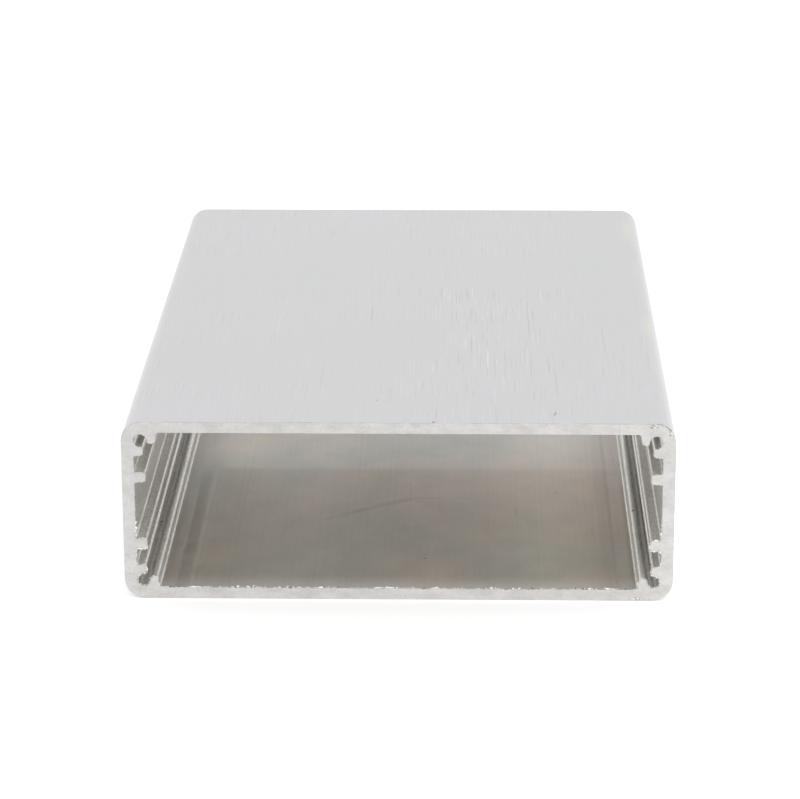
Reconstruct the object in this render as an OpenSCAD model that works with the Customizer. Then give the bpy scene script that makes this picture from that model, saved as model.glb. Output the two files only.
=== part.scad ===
// Extruded aluminium enclosure body: one length of a rounded rectangular tube, sawn square at
// both ends. Each inside corner carries a screw port, a board slot and a guide rib along the
// full length. X is the width, Y runs along the extrusion, Z is up, and the origin is on the
// floor plane at the middle of the length. All sizes are in millimetres.

/* [Tube] */
// outside width of the tube, side face to side face
body_w = 100; // [60:1:200]
// outside height of the tube, bottom face to top face
body_h = 34; // [28:1:80]
// sawn length of the tube
body_len = 150; // [40:5:300]
// thickness of the top and bottom walls
plate_t = 2.1; // [1.6:0.1:2.3]
// thickness of the two side walls
side_t = 2.2; // [1.6:0.1:2.2]
// outside radius of the four long edges
corner_r = 3.8; // [2:0.1:4.5]

/* [Screw ports] */
// bore of a screw port, cut for a thread-forming M3 screw
port_d = 2.5; // [2:0.1:2.7]
// distance of a port axis from the outside of its side wall
port_in_x = 3.5; // [3.2:0.1:4]
// distance of a port axis from the outside of its top or bottom wall
port_in_z = 3.6; // [3.3:0.1:4]
// depth that a port bore bites into the lip and the hook beside it
port_bite = 0.1; // [0.05:0.05:0.3]
// thickness of the hook that stands on the top or bottom wall beside a port
hook_t = 1.5; // [1.2:0.1:2.2]
// height of the hook above the inside of its wall
hook_h = 2.05; // [1.8:0.05:2.6]
// extra thickness of the hook at its root, on the side away from the port
hook_taper = 0.15; // [0.05:0.05:0.5]
// thickness of the short lip that closes a port on its side wall
lip_t = 1.7; // [1.4:0.1:2.4]
// reach of the lip from the inside of its side wall
lip_len = 1.75; // [1.4:0.05:2]
// radius of the rounded end of the lip
lip_r = 0.6; // [0.3:0.05:0.7]

/* [Board slots] */
// width of a board slot, between the lip and the guide rib
slot_w = 3.25; // [1.8:0.05:4.5]
// thickness of a guide rib
guide_t = 1.85; // [1.2:0.05:2.5]
// reach of a guide rib from the inside of its side wall
guide_len = 2.05; // [1.2:0.05:4]
// radius of the two long edges at the end of a guide rib
guide_r = 0.5; // [0.2:0.05:0.55]

/* [Die fillets] */
// radius of the fillets where a rib or a hook meets its wall
root_r = 0.35; // [0.1:0.05:0.5]

/* [Hidden] */
// radius of a port bore
port_r = port_d / 2;
// lower face of a lip, measured from the outside of the bottom wall
lip_z = port_in_z + port_r - port_bite;
// outer flank of a hook, measured from the outside of its side wall
hook_x = port_in_x + port_r - port_bite;
// lower face of a guide rib, measured from the outside of the bottom wall
guide_z = lip_z + lip_t + slot_w;
// amount by which joined shapes run into each other
lap = 0.4;
$fn = 64;

// Bar with its far end rounded at both corners: size is its reach and thickness.
module nosed_bar(reach, thick, nose_r) {
    translate([-lap, 0]) square([reach - nose_r + lap, thick]);
    translate([-lap, nose_r]) square([reach + lap, thick - 2 * nose_r]);
    translate([reach - nose_r, nose_r]) circle(r = nose_r);
    translate([reach - nose_r, thick - nose_r]) circle(r = nose_r);
}

// Fillet in the inside corner at the origin, between walls along +X and +Y.
module root_fillet(r) {
    difference() {
        translate([-lap, -lap]) square([r + lap, r + lap]);
        translate([r, r]) circle(r = r);
    }
}

// Outside of the tube: rectangle with four round corners.
module outer_shape() {
    translate([-body_w / 2 + corner_r, 0]) square([body_w - 2 * corner_r, body_h]);
    translate([-body_w / 2, corner_r]) square([body_w, body_h - 2 * corner_r]);
    for (side = [-1, 1]) {
        for (z = [corner_r, body_h - corner_r]) {
            translate([side * (body_w / 2 - corner_r), z]) circle(r = corner_r);
        }
    }
}

// Inside of the tube, before the ribs are added.
module inner_shape() {
    translate([-body_w / 2 + side_t, plate_t]) square([body_w - 2 * side_t, body_h - 2 * plate_t]);
}

// Hook beside a port: a full-round nose on a foot that widens towards the wall.
module hook() {
    nose = hook_t / 2;
    top = plate_t + hook_h;
    translate([hook_x, plate_t - lap]) square([hook_t, hook_h - nose + lap]);
    translate([hook_x + nose, top - nose]) circle(r = nose);
    polygon([
        [hook_x + nose, plate_t - lap],
        [hook_x + hook_t + hook_taper, plate_t - lap],
        [hook_x + hook_t + hook_taper, plate_t],
        [hook_x + hook_t - 0.01, top - nose],
        [hook_x + nose, top - nose]
    ]);
    translate([hook_x + hook_t + hook_taper - 0.02, plate_t]) root_fillet(root_r);
}

// Everything that stands in one inside corner; X is measured from the outside of the side wall
// and Y from the outside of the bottom wall.
module corner_rail() {
    difference() {
        union() {
            // solid corner behind the bore, up to its axis both ways
            translate([side_t - lap, plate_t - lap])
                square([port_in_x - side_t + lap, lip_z + lap - plate_t + lap]);
            translate([side_t - lap, plate_t - lap])
                square([hook_x + lap - side_t + lap, port_in_z - plate_t + lap]);
            hook();
            translate([side_t, lip_z]) nosed_bar(lip_len, lip_t, lip_r);
        }
        translate([port_in_x, port_in_z]) circle(d = port_d);
    }
    translate([side_t, guide_z]) nosed_bar(guide_len, guide_t, guide_r);
    // fillets at the two corners of the slot and above the guide rib
    translate([side_t, lip_z + lip_t]) root_fillet(root_r);
    translate([side_t, guide_z]) mirror([0, 1]) root_fillet(root_r);
    translate([side_t, guide_z + guide_t]) root_fillet(root_r);
}

// Full cross-section: the tube wall and four mirrored corner rails.
module section() {
    difference() {
        outer_shape();
        inner_shape();
    }
    for (side = [0, 1]) {
        for (flip = [0, 1]) {
            translate([0, body_h / 2])
                mirror([side, 0])
                    mirror([0, flip])
                        translate([-body_w / 2, -body_h / 2]) corner_rail();
        }
    }
}

// The whole extrusion, centred along Y.
module extruded_body() {
    color("silver")
        translate([0, body_len / 2, 0])
            rotate([90, 0, 0])
                linear_extrude(height = body_len) section();
}

extruded_body();
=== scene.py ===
import math

import bmesh
import bpy
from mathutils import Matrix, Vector


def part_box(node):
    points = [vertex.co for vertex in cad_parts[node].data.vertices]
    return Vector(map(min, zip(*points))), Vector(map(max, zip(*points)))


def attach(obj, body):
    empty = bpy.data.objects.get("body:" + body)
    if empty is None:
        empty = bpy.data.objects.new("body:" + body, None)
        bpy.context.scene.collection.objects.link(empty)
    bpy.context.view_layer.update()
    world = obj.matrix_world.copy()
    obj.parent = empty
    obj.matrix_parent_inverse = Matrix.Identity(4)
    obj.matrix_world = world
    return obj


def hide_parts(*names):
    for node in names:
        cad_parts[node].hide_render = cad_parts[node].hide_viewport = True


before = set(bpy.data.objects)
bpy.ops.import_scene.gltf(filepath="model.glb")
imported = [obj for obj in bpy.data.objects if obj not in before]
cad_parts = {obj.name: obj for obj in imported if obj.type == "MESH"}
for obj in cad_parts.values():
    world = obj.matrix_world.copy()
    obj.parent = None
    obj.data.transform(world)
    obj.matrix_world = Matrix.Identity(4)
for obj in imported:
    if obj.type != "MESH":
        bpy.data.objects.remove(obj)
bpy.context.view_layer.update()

# ---------------------------------------------------------------------------------------------
# Camera: a long lens in front of the open end, a little to the right of it and well above, so
# that the top face, the front sawn end and the floor of the bore all show.
MM = 0.001


def clear_selection():
    if bpy.context.mode != "OBJECT":
        bpy.ops.object.mode_set(mode="OBJECT")
    bpy.ops.object.select_all(action="DESELECT")


clear_selection()
bpy.ops.object.camera_add(
    location=(12.987 * MM, -614.286 * MM, 215.586 * MM),
    rotation=(math.radians(71.8206), math.radians(0.1556), math.radians(1.2857)),
)
camera = bpy.context.object
camera.name = "camera"
camera.data.lens = 142.66
camera.data.sensor_width = 36.0
camera.data.clip_start = 0.01
camera.data.clip_end = 20.0
camera.data.dof.use_dof = False
bpy.context.scene.camera = camera

# ---------------------------------------------------------------------------------------------
# Studio: a white paper floor that runs out into a white room, and three large, dim soft lights,
# overhead, in front to the right and at the right side. Floor and room show white to the camera
# and in the metal, and the floor still takes the tube's shadow.


def srgb(code):
    """An sRGB hex colour as linear RGBA."""
    linear = []
    for i in (1, 3, 5):
        value = int(code[i:i + 2], 16) / 255.0
        linear.append(value / 12.92 if value <= 0.04045 else ((value + 0.055) / 1.055) ** 2.4)
    return (*linear, 1.0)


def add_node(tree, kind, settings=None, **inputs):
    """Adds a node. settings are its properties. inputs are its sockets, by name (_ for a space)
    or as i0, i1 and so on by place, each with a value, an output to link, or a node, which
    stands for its first output."""
    made = tree.nodes.new(kind)
    for name, value in (settings or {}).items():
        setattr(made, name, value)
    for name, value in inputs.items():
        by_place = name[0] == "i" and name[1:].isdigit()
        socket = made.inputs[int(name[1:]) if by_place else name.replace("_", " ")]
        if isinstance(value, bpy.types.Node):
            value = value.outputs[0]
        if isinstance(value, bpy.types.NodeSocket):
            tree.links.new(value, socket)
        else:
            socket.default_value = value
    return made


def new_material(name):
    material = bpy.data.materials.new(name)
    material.use_nodes = True
    material.node_tree.nodes.clear()
    return material, material.node_tree


def seen_directly(tree):
    """1 for camera, glossy and transmission rays, 0 for the diffuse rays that carry the light."""
    path = add_node(tree, "ShaderNodeLightPath")
    either = add_node(tree, "ShaderNodeMath", {"operation": "MAXIMUM"},
                      i0=path.outputs["Is Camera Ray"], i1=path.outputs["Is Glossy Ray"])
    return add_node(tree, "ShaderNodeMath", {"operation": "MAXIMUM"},
                    i0=either, i1=path.outputs["Is Transmission Ray"])


WHITE = srgb("#FFFFFF")

clear_selection()
bpy.ops.mesh.primitive_plane_add(size=6.0, location=(0.0, 0.0, -0.05 * MM))
sweep = bpy.context.object
sweep.name = "studio_sweep"
# White matt paper, lifted to full white where it is seen but not where it lights the tube.
paper, paper_nodes = new_material("white_paper_sweep")
paper_matt = add_node(paper_nodes, "ShaderNodeBsdfDiffuse", Color=srgb("#F4F4F4"))
paper_glow = add_node(paper_nodes, "ShaderNodeEmission", Color=WHITE, Strength=0.28)
paper_seen = add_node(paper_nodes, "ShaderNodeAddShader", i0=paper_matt, i1=paper_glow)
add_node(paper_nodes, "ShaderNodeOutputMaterial", Surface=add_node(
    paper_nodes, "ShaderNodeMixShader", i0=seen_directly(paper_nodes), i1=paper_matt,
    i2=paper_seen))
sweep.data.materials.append(paper)

world = bpy.data.worlds.new("studio_room")
bpy.context.scene.world = world
world.use_nodes = True
room = world.node_tree
room.nodes.clear()
room_seen = add_node(room, "ShaderNodeBackground", Color=WHITE, Strength=1.0)
room_light = add_node(room, "ShaderNodeBackground", Color=WHITE, Strength=0.80)
add_node(room, "ShaderNodeOutputWorld", Surface=add_node(
    room, "ShaderNodeMixShader", i0=seen_directly(room), i1=room_light, i2=room_seen))

for name, place, aim, size, power in (
    ("overhead_softbox", (0.05, -0.25, 1.10), (0.0, 0.0, 0.0), 1.9, 5.0),
    ("front_softbox", (0.95, -1.22, 0.95), (0.0, -0.03, 0.02), 1.9, 2.8),
    ("side_softbox", (1.15, 0.40, 0.85), (0.0, 0.0, 0.02), 1.6, 2.9),
):
    clear_selection()
    bpy.ops.object.light_add(type="AREA", location=place)
    lamp = bpy.context.object
    lamp.name = name
    lamp.data.shape = "SQUARE"
    lamp.data.size = size
    lamp.data.energy = power
    lamp.rotation_euler = (Vector(aim) - Vector(place)).to_track_quat("-Z", "Y").to_euler()

bpy.context.scene.view_settings.view_transform = "Standard"

# ---------------------------------------------------------------------------------------------
# The extrusion: one aluminium profile pushed through a die, brushed along its outside and sawn
# off at both ends. The saw leaves each cut edge very slightly broken.
CORNER_R = 3.8 * MM     # the outer corners' rounding
RAIL_X = 43.2 * MM      # the corner rails and the side walls lie beyond this
FLOOR_Z = 2.1           # the floor's height and the top's, in millimetres
TOP_Z = 34.0
EDGE_BREAK = 0.035 * MM
MERGE = 1e-7            # points closer than this are one point
AT_END = 1e-6           # how near its plane a point of an end lies
FACES_END = 0.9         # how far a sawn face's normal points along the tube, at least
FACES_SIDE = 0.1        # and the skin's, at most

low, high = (Vector(corner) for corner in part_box("extruded_body"))

clear_selection()
tube = bpy.data.objects.new("sawn_extrusion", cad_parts["extruded_body"].data.copy())
bpy.context.scene.collection.objects.link(tube)
tube.data.materials.clear()
tube.select_set(True)
bpy.context.view_layer.objects.active = tube
bpy.ops.mesh.customdata_custom_splitnormals_clear()


def select_where(obj, kind, test):
    """Edit-mode selection of the vertices, edges or faces that pass a test."""
    mode = {"verts": "VERT", "edges": "EDGE", "faces": "FACE"}[kind]
    bpy.ops.mesh.select_mode(type=mode)
    bpy.ops.mesh.select_all(action="DESELECT")
    mesh = bmesh.from_edit_mesh(obj.data)
    for element in getattr(mesh, kind):
        if test(element):
            element.select_set(True)
    mesh.select_flush_mode()
    bmesh.update_edit_mesh(obj.data)


def is_arc_edge(edge):
    """A long edge between two strips of one rounded part of the section."""
    return edge.is_manifold and math.radians(4.0) < edge.calc_face_angle() < math.radians(52.0)


bpy.ops.object.mode_set(mode="EDIT")
bpy.ops.mesh.select_all(action="SELECT")
bpy.ops.mesh.remove_doubles(threshold=MERGE)
# The flat ends come off, and the skin left is cleaned to one long strip for each flat.
select_where(tube, "faces", lambda f: abs(f.normal.y) > FACES_END)
bpy.ops.mesh.delete(type="ONLY_FACE")
select_where(tube, "edges", lambda e: e.is_wire)
bpy.ops.mesh.delete(type="EDGE")
bpy.ops.mesh.select_all(action="SELECT")
bpy.ops.mesh.dissolve_limited(angle_limit=math.radians(0.3))
# Each rounded part gets more strips, so that it shades and reads as a true curve.
select_where(tube, "edges", is_arc_edge)
bpy.ops.mesh.bevel(offset_type="PERCENT", offset_pct=28.0, segments=2, profile=0.5,
                   affect="EDGES", clamp_overlap=True)

# The cut edges: a narrow broken edge, then the flat sawn face.
for end_y, way in ((low.y, -1.0), (high.y, 1.0)):
    rim_y = end_y - way * EDGE_BREAK
    select_where(tube, "verts", lambda v: abs(v.co.y - end_y) < AT_END)
    bpy.ops.transform.translate(value=(0.0, rim_y - end_y, 0.0))
    select_where(tube, "edges", lambda e: all(abs(v.co.y - rim_y) < AT_END for v in e.verts))
    bpy.ops.mesh.extrude_edges_move(TRANSFORM_OT_translate={"value": (0.0, end_y - rim_y, 0.0)})
    bpy.ops.transform.shrink_fatten(value=-EDGE_BREAK, use_even_offset=True)
    bpy.ops.transform.resize(value=(1.0, 0.0, 1.0), center_override=(0.0, end_y, 0.0))
    bpy.ops.mesh.fill(use_beauty=True)
bpy.ops.mesh.select_all(action="SELECT")
bpy.ops.mesh.normals_make_consistent(inside=False)


def steps(across, along, upright=None):
    """Mapping scale for a pattern that repeats in this many millimetres across the tube (X),
    along it (Y) and upright (Z, as across unless given)."""
    return [1.0 / (step * MM) for step in (across, along, upright or across)]


def fine_mark(tree, place, start, end, width, depth=1.0, soft=0.5):
    """0 to 1 inside one thin mark that runs from start to end, both (x, y, z) in millimetres, as
    its width and depth are. It fades over the outer share of it that soft gives."""
    start, end = Vector(start) * MM, Vector(end) * MM
    run = end - start
    local = add_node(tree, "ShaderNodeMapping", {"vector_type": "TEXTURE"}, Vector=place,
                     Location=(start + end) / 2, Rotation=(0.0, 0.0, math.atan2(run.y, run.x)),
                     Scale=(run.length / 2, width * MM / 2, depth * MM))
    blob = add_node(tree, "ShaderNodeTexGradient", {"gradient_type": "SPHERICAL"}, Vector=local)
    return add_node(tree, "ShaderNodeMapRange", {"interpolation_type": "SMOOTHSTEP"},
                    Value=blob.outputs["Fac"], From_Max=soft)


def marked(tree, place, level, height, depth, soft, rows):
    """The brightness level with fine marks added at one height: each row holds a mark's start
    and end (x, y), its width, and how much it lightens or darkens the metal."""
    for start, end, width, change in rows:
        level = add_node(tree, "ShaderNodeMath", {"operation": "MULTIPLY_ADD"}, i0=fine_mark(
            tree, place, (*start, height), (*end, height), width, depth, soft),
            i1=change, i2=level)
    return level


def across_the_lines(tree):
    """Tangent that spreads the sheen across hairlines or die lines, which all run along Y."""
    return add_node(tree, "ShaderNodeVectorMath", {"operation": "CROSS_PRODUCT"},
                    i0=add_node(tree, "ShaderNodeNewGeometry").outputs["Normal"],
                    i1=(0.0, 1.0, 0.0))


# Brushed aluminium, as the outside is: a fine abrasive belt drawn along the tube leaves short
# parallel hairlines, so the sheen spreads across them, and a few deeper strokes.
brushed, b_tree = new_material("brushed_aluminium")
b_place = add_node(b_tree, "ShaderNodeTexCoord").outputs["Object"]
# Hairlines 0.3 mm apart, coarser than the real belt leaves, so that they show.
b_hair = add_node(b_tree, "ShaderNodeTexNoise", Vector=add_node(
    b_tree, "ShaderNodeMapping", Vector=b_place, Scale=steps(0.3, 12.0)),
    Scale=1.0, Detail=3.0, Roughness=0.6)
# Deeper strokes 0.3 mm wide and 10 to 25 mm long, each with a dark flank and a bright one
# beside it. They lie thickest where the belt bore down, off the middle of the face.
b_stroke = add_node(b_tree, "ShaderNodeTexNoise", Vector=add_node(
    b_tree, "ShaderNodeMapping", Vector=b_place, Scale=steps(0.27, 16.0)),
    Scale=1.0, Detail=1.0, Roughness=0.5)
b_zone = add_node(b_tree, "ShaderNodeTexNoise", Vector=add_node(
    b_tree, "ShaderNodeMapping", Vector=b_place, Scale=steps(30.0, 42.0)),
    Scale=1.0, Detail=2.0, Roughness=0.5)
b_zone_on = add_node(b_tree, "ShaderNodeMapRange", {"interpolation_type": "SMOOTHSTEP"},
                     Value=b_zone, From_Min=0.38, From_Max=0.54, To_Min=0.3)
b_worn = fine_mark(b_tree, b_place, (16.0, -90.0, TOP_Z), (16.0, 62.0, TOP_Z), 66.0, 60.0, 0.9)
b_thick = add_node(b_tree, "ShaderNodeMath", {"operation": "MULTIPLY"}, i0=b_zone_on, i1=add_node(
    b_tree, "ShaderNodeMath", {"operation": "MULTIPLY_ADD"}, i0=b_worn, i1=0.6, i2=0.4))
b_dark = add_node(b_tree, "ShaderNodeMapRange", {"interpolation_type": "SMOOTHSTEP"},
                  Value=b_stroke, From_Min=0.61, From_Max=0.74, To_Max=-0.19)
b_pale = add_node(b_tree, "ShaderNodeMapRange", {"interpolation_type": "SMOOTHSTEP"},
                  Value=b_stroke, From_Min=0.385, From_Max=0.27, To_Max=0.14)
b_lines = add_node(b_tree, "ShaderNodeMapRange", Value=b_hair, From_Min=0.3, From_Max=0.7,
                   To_Min=0.975, To_Max=1.02)
b_level = add_node(b_tree, "ShaderNodeMath", {"operation": "MULTIPLY_ADD"}, i0=add_node(
    b_tree, "ShaderNodeMath", {"operation": "ADD"}, i0=b_dark, i1=b_pale),
    i1=b_thick, i2=b_lines)
# Three nicks, then a few long single scratches on the top face.
b_level = marked(b_tree, b_place, b_level, TOP_Z, 1.0, 0.5, (
    ((28.1, -71.0), (28.6, -68.0), 0.5, -0.40),
    ((-4.4, -62.3), (-3.9, -61.5), 0.5, -0.35),
    ((6.2, -75.6), (6.5, -73.6), 0.7, -0.40),
    ((24.5, -29.5), (24.4, 7.9), 0.30, -0.14),
    ((-6.8, -15.0), (-6.7, 2.0), 0.30, -0.13),
    ((13.2, -35.2), (13.2, -18.0), 0.32, -0.14),
    ((16.1, -45.0), (16.4, -28.0), 0.32, 0.11),
    ((29.2, -64.0), (28.8, -38.0), 0.32, -0.10),
    ((-15.0, -58.0), (-14.8, -36.0), 0.30, -0.09),
    ((39.0, -40.0), (38.7, -10.0), 0.30, -0.09),
    ((19.0, -58.0), (19.1, -44.0), 0.32, 0.10),
    ((-25.0, -30.0), (-24.8, -6.0), 0.30, 0.09),
))
b_tint = add_node(b_tree, "ShaderNodeMix", {"data_type": "RGBA"}, Factor=b_zone,
                  i6=srgb("#CECFCF"), i7=srgb("#D2D1D4"))
b_tone = add_node(b_tree, "ShaderNodeVectorMath", {"operation": "SCALE"},
                  Vector=b_tint.outputs[2], Scale=b_level)
# Two spots on the right-hand rounding where dried fluid left a pale yellow film.
b_film = add_node(
    b_tree, "ShaderNodeMath", {"operation": "MAXIMUM"},
    i0=fine_mark(b_tree, b_place, (47.6, -26.0, 33.5), (48.2, -1.0, 33.5), 5.0, 3.0, 1.0),
    i1=fine_mark(b_tree, b_place, (47.2, 46.0, 33.5), (47.2, 72.0, 33.5), 5.0, 3.0, 1.0))
b_colour = add_node(b_tree, "ShaderNodeMix", {"data_type": "RGBA"}, Factor=add_node(
    b_tree, "ShaderNodeMath", {"operation": "MULTIPLY"}, i0=b_film, i1=0.42),
    i6=b_tone, i7=srgb("#E0DFCE"))
b_rough = add_node(b_tree, "ShaderNodeMapRange", Value=b_hair, From_Min=0.3, From_Max=0.7,
                   To_Min=0.36, To_Max=0.46)
b_bump = add_node(b_tree, "ShaderNodeBump", Height=b_hair, Strength=0.25, Distance=0.01 * MM)
add_node(b_tree, "ShaderNodeOutputMaterial", Surface=add_node(
    b_tree, "ShaderNodeBsdfPrincipled", Base_Color=b_colour.outputs[2], Metallic=1.0,
    Roughness=b_rough, Anisotropic=0.6, Normal=b_bump, Tangent=across_the_lines(b_tree)))

# Mill-finish aluminium, as the bore's floor and ceiling are: dulled by the hot die, clouded
# with warmer and greener greys, with faint lines along it under a thin clear oxide that still
# mirrors the far opening.
mill, m_tree = new_material("mill_finish_aluminium")
m_place = add_node(m_tree, "ShaderNodeTexCoord").outputs["Object"]
# Die lines 0.7 mm apart, grain of 0.5 by 5 mm, clouds of 8 mm and stains of 30 mm.
m_die = add_node(m_tree, "ShaderNodeTexNoise", Vector=add_node(
    m_tree, "ShaderNodeMapping", Vector=m_place, Scale=steps(0.7, 300.0)),
    Scale=1.0, Detail=3.0, Roughness=0.7)
m_grain = add_node(m_tree, "ShaderNodeTexNoise", Vector=add_node(
    m_tree, "ShaderNodeMapping", Vector=m_place, Scale=steps(0.5, 5.0)),
    Scale=1.0, Detail=3.0, Roughness=0.6)
m_cloud = add_node(m_tree, "ShaderNodeTexNoise", Vector=add_node(
    m_tree, "ShaderNodeMapping", Vector=m_place, Scale=steps(7.0, 9.0)),
    Scale=1.0, Detail=4.0, Roughness=0.6)
m_stain = add_node(m_tree, "ShaderNodeTexNoise", Vector=add_node(
    m_tree, "ShaderNodeMapping", Vector=m_place, Scale=steps(30.0, 36.0)),
    Scale=1.0, Detail=2.0, Roughness=0.5)
# The stains run from a greener grey to a warmer one.
m_tint = add_node(m_tree, "ShaderNodeMix", {"data_type": "RGBA"}, Factor=add_node(
    m_tree, "ShaderNodeMapRange", Value=m_stain, From_Min=0.36, From_Max=0.64),
    i6=srgb("#B6B5AB"), i7=srgb("#C3B6AA"))
m_level = 1.0
for pattern, faint, strong in ((m_die, 0.96, 1.04), (m_grain, 0.975, 1.025),
                               (m_cloud, 0.93, 1.07)):
    m_level = add_node(m_tree, "ShaderNodeMath", {"operation": "MULTIPLY"}, i0=m_level, i1=add_node(
        m_tree, "ShaderNodeMapRange", Value=pattern, From_Min=0.3, From_Max=0.7,
        To_Min=faint, To_Max=strong))
# The last few millimetres before the cut are painted paler and cooler: painted light where the
# front light falls on the floor.
m_front_light = fine_mark(m_tree, m_place, (-200.0, -75.5, FLOOR_Z), (200.0, -75.5, FLOOR_Z),
                    16.0, 9.0, 1.0)
m_front_lit_tint = add_node(m_tree, "ShaderNodeMix", {"data_type": "RGBA"}, Factor=m_front_light,
                  i6=m_tint.outputs[2], i7=srgb("#B4B2AE"))
m_level = add_node(m_tree, "ShaderNodeMath", {"operation": "MULTIPLY_ADD"},
                   i0=m_front_light, i1=0.58, i2=m_level)
# A die line on the right with a fine one in it.
m_level = marked(m_tree, m_place, m_level, FLOOR_Z, 9.0, 0.8, (
    ((40.0, -110.0), (40.0, 110.0), 1.1, -0.20),
    ((40.3, -110.0), (40.3, 110.0), 0.3, -0.12),
))
# Faint darker bands beside it and along the left-hand rail; the one along the rail is painted shade
# where the floor meets the rail.
m_level = marked(m_tree, m_place, m_level, FLOOR_Z, 9.0, 0.6, (
    ((38.7, -120.0), (38.7, 60.0), 2.6, -0.07),
    ((-41.4, -160.0), (-41.4, 160.0), 6.8, -0.10),
))
# Broad painted light and shade on the floor: brighter along its right-hand side and in two patches
# where it mirrors the far opening, darker down the middle.
m_level = marked(m_tree, m_place, m_level, FLOOR_Z, 9.0, 1.0, (
    ((31.0, -180.0), (31.0, 130.0), 34.0, 0.39),
    ((0.0, -95.0), (0.0, 40.0), 46.0, -0.24),
    ((-33.0, -14.0), (-33.0, 22.0), 20.0, 0.27),
    ((32.0, -12.0), (32.0, 40.0), 26.0, 0.20),
))
# A curved scratch in five parts, smudges and nicks, then short scratches near the die line.
m_level = marked(m_tree, m_place, m_level, FLOOR_Z, 1.0, 0.5, (
    ((-17.5, -40.8), (-5.0, -31.2), 2.3, -0.12),
    ((-10.5, -35.1), (4.2, -25.2), 2.2, -0.13),
    ((-8.9, -31.3), (2.5, -23.4), 0.9, 0.08),
    ((1.0, -26.6), (9.0, -26.2), 0.9, -0.10),
    ((7.5, -26.2), (15.5, -29.8), 0.9, 0.08),
    ((4.2, -60.1), (5.0, -59.4), 0.8, -0.40),
    ((29.5, -23.6), (30.3, -22.9), 0.8, -0.32),
    ((-40.6, -59.0), (-38.6, -50.6), 3.4, -0.13),
    ((-38.0, -69.2), (-36.6, -61.6), 2.6, -0.10),
    ((41.9, -5.2), (42.3, -0.8), 0.6, -0.12),
    ((41.5, -1.4), (42.0, 3.0), 0.5, -0.10),
    ((40.5, -13.8), (41.5, -13.5), 0.9, 0.22),
    ((43.2, -2.3), (43.8, -1.8), 0.9, 0.22),
    ((43.0, -7.2), (43.2, -5.2), 0.5, -0.16),
    ((43.5, -7.6), (43.7, -5.8), 0.4, -0.14),
    ((41.5, -52.4), (42.2, -51.7), 0.9, 0.16),
    ((41.5, -46.5), (41.4, -42.5), 0.7, -0.10),
    ((36.6, -46.0), (36.3, -41.5), 0.8, -0.09),
    ((22.0, -36.5), (21.8, -31.0), 1.0, -0.09),
    ((40.0, -72.0), (40.1, -70.4), 0.7, -0.22),
    ((34.2, -56.0), (33.6, -46.0), 1.2, 0.05),
    ((34.9, -30.0), (34.2, -25.0), 1.0, 0.05),
))
m_colour = add_node(m_tree, "ShaderNodeVectorMath", {"operation": "SCALE"},
                    Vector=m_front_lit_tint.outputs[2], Scale=m_level)
m_bump = add_node(m_tree, "ShaderNodeBump", Height=m_die, Strength=0.2, Distance=0.01 * MM)
add_node(m_tree, "ShaderNodeOutputMaterial", Surface=add_node(
    m_tree, "ShaderNodeBsdfPrincipled", Base_Color=m_colour, Metallic=0.6, Roughness=0.42,
    Anisotropic=1.0, Coat_Weight=0.5, Coat_Roughness=0.03, Normal=m_bump,
    Tangent=across_the_lines(m_tree)))

# Die-drawn aluminium, as the corner rails and side walls are: the same metal drawn over the
# die's thin tongues, cleaner, and painted paler than the floor for the light that reaches the
# walls, with sharper lines along it and dark specks where swarf has lodged in the grooves.
drawn, d_tree = new_material("die_drawn_aluminium")
d_place = add_node(d_tree, "ShaderNodeTexCoord").outputs["Object"]
# Die lines 0.45 mm apart, clouds of 2.5 by 9 mm, swarf specks of 0.7 mm and grit of 0.35 mm.
d_die = add_node(d_tree, "ShaderNodeTexNoise", Vector=add_node(
    d_tree, "ShaderNodeMapping", Vector=d_place, Scale=steps(0.45, 120.0)),
    Scale=1.0, Detail=3.0, Roughness=0.7)
d_cloud = add_node(d_tree, "ShaderNodeTexNoise", Vector=add_node(
    d_tree, "ShaderNodeMapping", Vector=d_place, Scale=steps(2.5, 9.0)),
    Scale=1.0, Detail=4.0, Roughness=0.65)
d_swarf = add_node(d_tree, "ShaderNodeTexNoise", Vector=add_node(
    d_tree, "ShaderNodeMapping", Vector=d_place, Scale=steps(0.7, 1.6)),
    Scale=1.0, Detail=2.0, Roughness=0.6)
d_grit = add_node(d_tree, "ShaderNodeTexNoise", Vector=add_node(
    d_tree, "ShaderNodeMapping", Vector=d_place, Scale=steps(0.35, 1.4)),
    Scale=1.0, Detail=2.0, Roughness=0.7)
d_lines = add_node(d_tree, "ShaderNodeMapRange", Value=d_die, From_Min=0.3, From_Max=0.7,
                   To_Min=0.88, To_Max=1.08)
d_clouds = add_node(d_tree, "ShaderNodeMapRange", Value=d_cloud, From_Min=0.3, From_Max=0.7,
                    To_Min=0.92, To_Max=1.07)
d_swarf_on = add_node(d_tree, "ShaderNodeMapRange", {"interpolation_type": "SMOOTHSTEP"},
                      Value=d_swarf, From_Min=0.66, From_Max=0.76, To_Max=-0.45)
d_grits = add_node(d_tree, "ShaderNodeMapRange", Value=d_grit, From_Min=0.3, From_Max=0.7,
                   To_Min=0.82, To_Max=1.2)
d_level = add_node(d_tree, "ShaderNodeMath", {"operation": "MULTIPLY_ADD"},
                   i0=d_lines, i1=d_clouds, i2=d_swarf_on)
d_level = add_node(d_tree, "ShaderNodeMath", {"operation": "MULTIPLY"}, i0=d_level, i1=d_grits)
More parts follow.
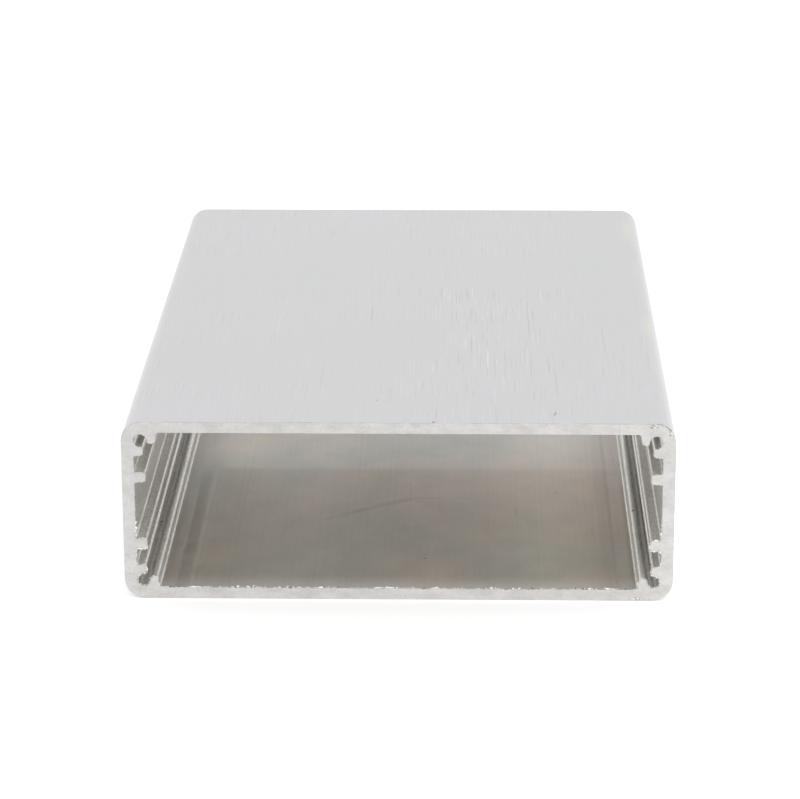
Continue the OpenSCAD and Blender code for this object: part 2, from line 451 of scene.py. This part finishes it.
# Single specks low in the rails, and a dull streak along the right-hand groove.
d_level = marked(d_tree, d_place, d_level, 3.0, 2.5, 0.5, (
    ((-45.4, 8.4), (-45.0, 9.9), 1.0, -0.8),
    ((-46.4, -42.0), (-46.3, -41.0), 0.8, -1.0),
    ((-45.8, -64.2), (-45.4, -62.8), 1.1, -0.8),
    ((44.3, -39.2), (44.6, -37.8), 0.9, -0.8),
    ((46.7, -80.0), (46.7, -4.0), 1.0, -0.45),
))
# The paler base is partly painted light, for the light that reaches the walls.
d_tint = add_node(d_tree, "ShaderNodeMix", {"data_type": "RGBA"}, Factor=d_cloud,
                  i6=srgb("#E4E2DC"), i7=srgb("#EDEBE7"))
d_colour = add_node(d_tree, "ShaderNodeVectorMath", {"operation": "SCALE"},
                    Vector=d_tint.outputs[2], Scale=d_level)
d_bump = add_node(d_tree, "ShaderNodeBump", Strength=0.5, Distance=0.015 * MM, Height=add_node(
    d_tree, "ShaderNodeMath", {"operation": "ADD"}, i0=d_die, i1=d_grit))
add_node(d_tree, "ShaderNodeOutputMaterial", Surface=add_node(
    d_tree, "ShaderNodeBsdfPrincipled", Base_Color=d_colour, Metallic=0.6, Roughness=0.26,
    Anisotropic=0.8, Normal=d_bump, Tangent=across_the_lines(d_tree)))

# Sawn aluminium, as the ends are: pale and matt, with faint arcs from the blade and blotches
# where it dragged.
sawn, s_tree = new_material("sawn_aluminium")
s_place = add_node(s_tree, "ShaderNodeTexCoord").outputs["Object"]
# Blade arcs 0.45 mm apart about a centre well below the tube. At a scale of 1 the texture's
# rings are 0.314 apart.
s_arc = add_node(s_tree, "ShaderNodeTexWave",
                 {"wave_type": "RINGS", "rings_direction": "Y", "wave_profile": "SIN"},
                 Vector=add_node(s_tree, "ShaderNodeMapping", Vector=s_place,
                                 Location=(30.0 * MM, 0.0, 140.0 * MM)),
                 Scale=0.314 / (0.45 * MM), Distortion=3.0, Detail=3.0,
                 Detail_Scale=2.0).outputs["Fac"]
# Drag blotches of 5 by 2.5 mm and specks of 0.5 mm.
s_blot = add_node(s_tree, "ShaderNodeTexNoise", Vector=add_node(
    s_tree, "ShaderNodeMapping", Vector=s_place, Scale=steps(5.0, 5.0, 2.5)),
    Scale=1.0, Detail=5.0, Roughness=0.7)
s_speck = add_node(s_tree, "ShaderNodeTexNoise", Vector=add_node(
    s_tree, "ShaderNodeMapping", Vector=s_place, Scale=steps(0.5, 0.5)),
    Scale=1.0, Detail=3.0, Roughness=0.7)
s_tint = add_node(s_tree, "ShaderNodeMix", {"data_type": "RGBA"}, Factor=add_node(
    s_tree, "ShaderNodeMapRange", Value=s_blot, From_Min=0.38, From_Max=0.62),
    i6=srgb("#C4C2C0"), i7=srgb("#D2D0CE"))
s_arcs = add_node(s_tree, "ShaderNodeMapRange", Value=s_arc, To_Min=0.975, To_Max=1.02)
s_specks = add_node(s_tree, "ShaderNodeMapRange", Value=s_speck, From_Min=0.3, From_Max=0.7,
                    To_Min=0.93, To_Max=1.06)
# Small dark pits where the blade plucked the metal.
s_pits = add_node(s_tree, "ShaderNodeMapRange", {"interpolation_type": "SMOOTHSTEP"},
                  Value=s_speck, From_Min=0.66, From_Max=0.76, To_Max=-0.30)
s_level = add_node(s_tree, "ShaderNodeMath", {"operation": "MULTIPLY_ADD"},
                   i0=s_arcs, i1=s_specks, i2=s_pits)
# In three places on the outer edge the blade chipped the metal; the bright specks there are painted
# glints of the chips, and the dark ones stand for pits with painted shade round them.
s_chip_glints_and_shade = add_node(s_tree, "ShaderNodeMapRange", Value=s_speck, From_Min=0.42, From_Max=0.56,
                    To_Min=-0.50, To_Max=0.30)
for start, end, depth in (((44.9, -75.0, 33.5), (47.1, -75.0, 33.5), 0.6),
                          ((48.3, -75.0, 32.2), (49.6, -75.0, 32.2), 0.7),
                          ((42.4, -75.0, 0.3), (45.0, -75.0, 0.3), 0.4)):
    s_level = add_node(s_tree, "ShaderNodeMath", {"operation": "MULTIPLY_ADD"},
                       i0=fine_mark(s_tree, s_place, start, end, 4.0, depth),
                       i1=s_chip_glints_and_shade, i2=s_level)
# Painted light on the sawn ends: a little brighter towards the right-hand side (+X) and lower down,
# a little darker at the top.
s_painted_light_at = add_node(s_tree, "ShaderNodeSeparateXYZ", Vector=s_place)
for axis, first, last, at_first, at_last in (("X", low.x, high.x, 1.005, 1.06),
                                             ("Z", low.z, high.z, 1.045, 0.96)):
    s_level = add_node(s_tree, "ShaderNodeMath", {"operation": "MULTIPLY"}, i0=s_level, i1=add_node(
        s_tree, "ShaderNodeMapRange", Value=s_painted_light_at.outputs[axis], From_Min=first,
        From_Max=last, To_Min=at_first, To_Max=at_last))
s_colour = add_node(s_tree, "ShaderNodeVectorMath", {"operation": "SCALE"},
                    Vector=s_tint.outputs[2], Scale=s_level)
s_bump = add_node(s_tree, "ShaderNodeBump", Height=s_arc, Strength=0.3, Distance=0.01 * MM)
add_node(s_tree, "ShaderNodeOutputMaterial", Surface=add_node(
    s_tree, "ShaderNodeBsdfPrincipled", Base_Color=s_colour, Metallic=1.0, Roughness=0.5,
    Normal=s_bump))

# Broken-edge aluminium, as the rim of the cut is: a dark grey with paler grey spots some 4 mm
# across.
broken, k_tree = new_material("broken_edge_aluminium")
k_place = add_node(k_tree, "ShaderNodeTexCoord").outputs["Object"]
k_spot = add_node(k_tree, "ShaderNodeTexNoise", Vector=add_node(
    k_tree, "ShaderNodeMapping", Vector=k_place, Scale=steps(4.0, 4.0)),
    Scale=1.0, Detail=4.0, Roughness=0.7)
k_colour = add_node(k_tree, "ShaderNodeMix", {"data_type": "RGBA"}, Factor=add_node(
    k_tree, "ShaderNodeMapRange", Value=k_spot, From_Min=0.46, From_Max=0.66),
    i6=srgb("#888785"), i7=srgb("#D2D1CF"))
add_node(k_tree, "ShaderNodeOutputMaterial", Surface=add_node(
    k_tree, "ShaderNodeBsdfPrincipled", Base_Color=k_colour.outputs[2], Metallic=1.0,
    Roughness=0.5))


def is_outside(face):
    """A face of the tube's outer skin, by the distance of its middle from the outer walls."""
    middle = face.calc_center_median()
    across = max(abs(middle.x) - (high.x - CORNER_R), 0.0)
    upright = max(abs(middle.z - high.z / 2) - (high.z / 2 - CORNER_R), 0.0)
    return math.hypot(across, upright) > CORNER_R - 0.2 * MM


def is_rail(face):
    return all(abs(v.co.x) > RAIL_X for v in face.verts)


def is_skin(face):
    return abs(face.normal.y) < FACES_SIDE


for slot, (finish, test) in enumerate((
    (brushed, lambda f: is_skin(f) and is_outside(f)),
    (mill, lambda f: is_skin(f) and not is_outside(f) and not is_rail(f)),
    (drawn, lambda f: is_skin(f) and not is_outside(f) and is_rail(f)),
    (sawn, lambda f: abs(f.normal.y) > FACES_END),
    (broken, lambda f: FACES_SIDE <= abs(f.normal.y) <= FACES_END),
)):
    tube.data.materials.append(finish)
    select_where(tube, "faces", test)
    tube.active_material_index = slot
    bpy.ops.object.material_slot_assign()
bpy.ops.object.mode_set(mode="OBJECT")
bpy.ops.object.shade_smooth_by_angle(angle=math.radians(32.0))

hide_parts("extruded_body")
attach(tube, "root")

# ---------------------------------------------------------------------------------------------
# Saw burrs: ragged fins of torn metal that the blade left round the inner edge of both cuts,
# heaviest along the bottom wall, with a few chips on the upper outer corner of the front one.
FIN_THICKNESS = 0.04 * MM
BOTTOM_WALL = 3.0       # the bore's skin below this height is the bottom wall's, in millimetres
LOWER_RAILS = 14.0      # and the rails below this one are the lower two
CHIPS_X, CHIPS_Z = 45.5, 32.2   # the chips lie beyond and above these

# Torn aluminium: bright where it tore clean, darker where it folded over.
torn, t_tree = new_material("torn_aluminium")
t_place = add_node(t_tree, "ShaderNodeTexCoord").outputs["Object"]
t_spot = add_node(t_tree, "ShaderNodeTexNoise", Vector=add_node(
    t_tree, "ShaderNodeMapping", Vector=t_place, Scale=steps(0.9, 0.9)),
    Scale=1.0, Detail=3.0, Roughness=0.7)
t_colour = add_node(t_tree, "ShaderNodeMix", {"data_type": "RGBA"}, Factor=add_node(
    t_tree, "ShaderNodeMapRange", Value=t_spot, From_Min=0.42, From_Max=0.60),
    i6=srgb("#DDDCD9"), i7=srgb("#FBFAF8"))
add_node(t_tree, "ShaderNodeOutputMaterial", Surface=add_node(
    t_tree, "ShaderNodeBsdfPrincipled", Base_Color=t_colour.outputs[2], Metallic=1.0,
    Roughness=0.22))


def ragged_edge(name, keep, width, push, jitter, depth, seed):
    """A thin torn fin from the tube's own skin at the front cut. The kept faces' last width of
    skin is cut into short lengths, and its free edge is turned off the wall by push and torn by
    jitter, of which depth is the share kept along the tube."""
    clear_selection()
    fin = bpy.data.objects.new(name, tube.data.copy())
    bpy.context.scene.collection.objects.link(fin)
    fin.data.materials.clear()
    fin.data.materials.append(torn)
    fin.select_set(True)
    bpy.context.view_layer.objects.active = fin
    front = low.y + EDGE_BREAK
    bpy.ops.object.mode_set(mode="EDIT")
    select_where(fin, "faces", lambda f: not is_skin(f) or not keep(f))
    bpy.ops.mesh.delete(type="FACE")
    bpy.ops.mesh.select_all(action="SELECT")
    bpy.ops.mesh.bisect(plane_co=(0.0, front + width * MM, 0.0), plane_no=(0.0, 1.0, 0.0),
                        clear_outer=True, threshold=MERGE)
    middle = front + width * MM / 2

    def is_free(vertex):
        return vertex.co.y < middle

    # The contour is cut to about 1 mm, pushed and torn there, then cut and torn again finer.
    # Each pair gives how many cuts a length gets, and how long it has to be to get them.
    for share, cutting in ((0.5, ((9, 3.0), (4, 1.2))), (1.0, ((3, 0.6), (2, 0.4), (1, 0.24)))):
        for cuts, shortest in cutting:
            select_where(fin, "edges", lambda e: is_free(e.verts[0]) == is_free(e.verts[1])
                         and e.calc_length() > shortest * MM)
            bpy.ops.mesh.subdivide(number_cuts=cuts)
        select_where(fin, "verts", is_free)
        # The first, coarse tearing starts from an edge turned off the wall, in the saw's plane.
        if share < 1.0:
            bpy.ops.transform.shrink_fatten(value=push * MM)
            bpy.ops.transform.translate(value=(0.0, -EDGE_BREAK, 0.0))
        bpy.ops.transform.vertex_random(offset=share * jitter * MM, uniform=0.0, normal=0.0,
                                        seed=seed)
        bpy.ops.transform.resize(value=(1.0, depth, 1.0), center_override=(0.0, low.y, 0.0))
        seed += 1
    bpy.ops.object.mode_set(mode="OBJECT")
    bpy.ops.object.shade_flat()
    solid = fin.modifiers.new("thickness", "SOLIDIFY")
    solid.thickness = FIN_THICKNESS
    solid.offset = 0.0
    bpy.ops.object.modifier_apply(modifier=solid.name)
    return fin


def middle_of(face):
    """A face's middle, in millimetres."""
    return face.calc_center_median() / MM


def joined(active, others):
    """Joins the others into the active object, as one mesh."""
    clear_selection()
    for piece in (active, *others):
        piece.select_set(True)
    bpy.context.view_layer.objects.active = active
    bpy.ops.object.join()
    return active


burr = joined(
    ragged_edge("burr_bottom_wall", lambda f: not is_outside(f) and not is_rail(f)
                and middle_of(f).z < BOTTOM_WALL, 0.06, 0.15, 0.44, 1.0, 11),
    (ragged_edge("burr_lower_rails", lambda f: not is_outside(f) and is_rail(f)
                 and middle_of(f).z < LOWER_RAILS, 0.02, 0.13, 0.30, 0.5, 5),
     ragged_edge("burr_upper_rails", lambda f: not is_outside(f) and is_rail(f)
                 and middle_of(f).z >= LOWER_RAILS, 0.03, 0.03, 0.14, 0.5, 7)))
chips = ragged_edge("chips_upper_corner", lambda f: is_outside(f) and middle_of(f).x > CHIPS_X
                    and middle_of(f).z > CHIPS_Z, 0.25, 0.08, 0.26, 1.0, 3)

# The rear cut has the same burr, turned half round.
clear_selection()
burr.select_set(True)
bpy.context.view_layer.objects.active = burr
bpy.ops.object.duplicate()
rear_burr = bpy.context.object
bpy.ops.object.mode_set(mode="EDIT")
bpy.ops.mesh.select_all(action="SELECT")
bpy.ops.transform.rotate(value=math.pi, orient_axis="Z", center_override=(0.0, 0.0, 0.0))
bpy.ops.object.mode_set(mode="OBJECT")
joined(tube, (burr, rear_burr, chips))
